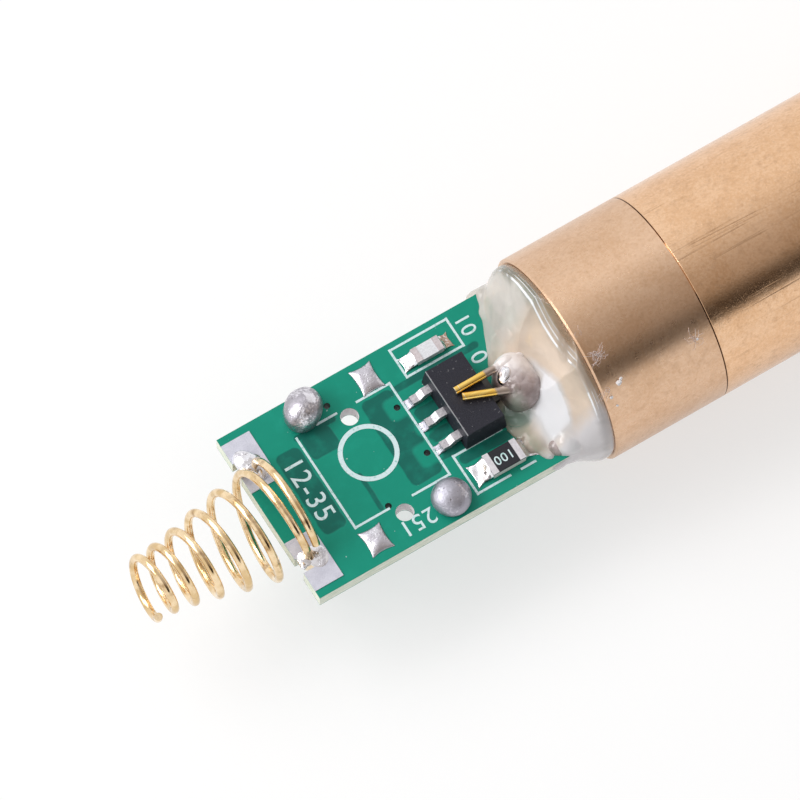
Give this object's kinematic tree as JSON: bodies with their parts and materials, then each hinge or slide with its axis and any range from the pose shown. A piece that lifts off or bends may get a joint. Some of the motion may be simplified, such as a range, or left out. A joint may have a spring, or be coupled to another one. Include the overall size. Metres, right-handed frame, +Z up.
{
  "type": "laser diode module",
  "caption": "Brass barrel laser module: diode and collimating lens inside, green driver board glued to the rear end, conical battery spring on the board.",
  "frame": {"origin": "middle of the brass barrel, on the beam's axis", "axes": "+X along the beam, out of the lens; +Z up from the board's component side"},
  "size_m": [0.0556, 0.012, 0.012],
  "materials": {
    "barrel_brass": "satin turned",
    "black_ring": "black anodised",
    "lens_glass": "polished",
    "diode_gold": "gold plated",
    "can_steel": "plated",
    "laser_crystal": "cleaved",
    "spring_gold": "gold plated wire",
    "board_green": "solder mask",
    "pad_tin": "tinned",
    "solder": "bright solder",
    "black_epoxy": "moulded",
    "resistor_black": "glazed top",
    "chip_grey": "fired",
    "clear_glue": "clear"
  },
  "bodies": {
    "root": {"diode_holder": "barrel_brass", "front_tube": "barrel_brass", "lens_cell": "barrel_brass", "lens_ring": "black_ring", "diode_window": "lens_glass", "lead_seals": "lens_glass", "lens": "lens_glass", "diode_header": "diode_gold", "diode_leads": "diode_gold", "diode_cap": "can_steel", "laser_chip": "laser_crystal", "battery_spring": "spring_gold", "circuit_board": "board_green", "contact_pads": "pad_tin", "resistor_caps": "pad_tin", "small_chip_caps": "pad_tin", "switch_pads": "pad_tin", "transistor_legs": "pad_tin", "foot_solder": "solder", "lead_solder": "solder", "resistor_solder": "solder", "small_chip_solder": "solder", "solder_domes": "solder", "spring_solder": "solder", "transistor_body": "black_epoxy", "resistor_body": "resistor_black", "small_chip_body": "chip_grey", "glue": "clear_glue"}
  },
  "joints": []
}
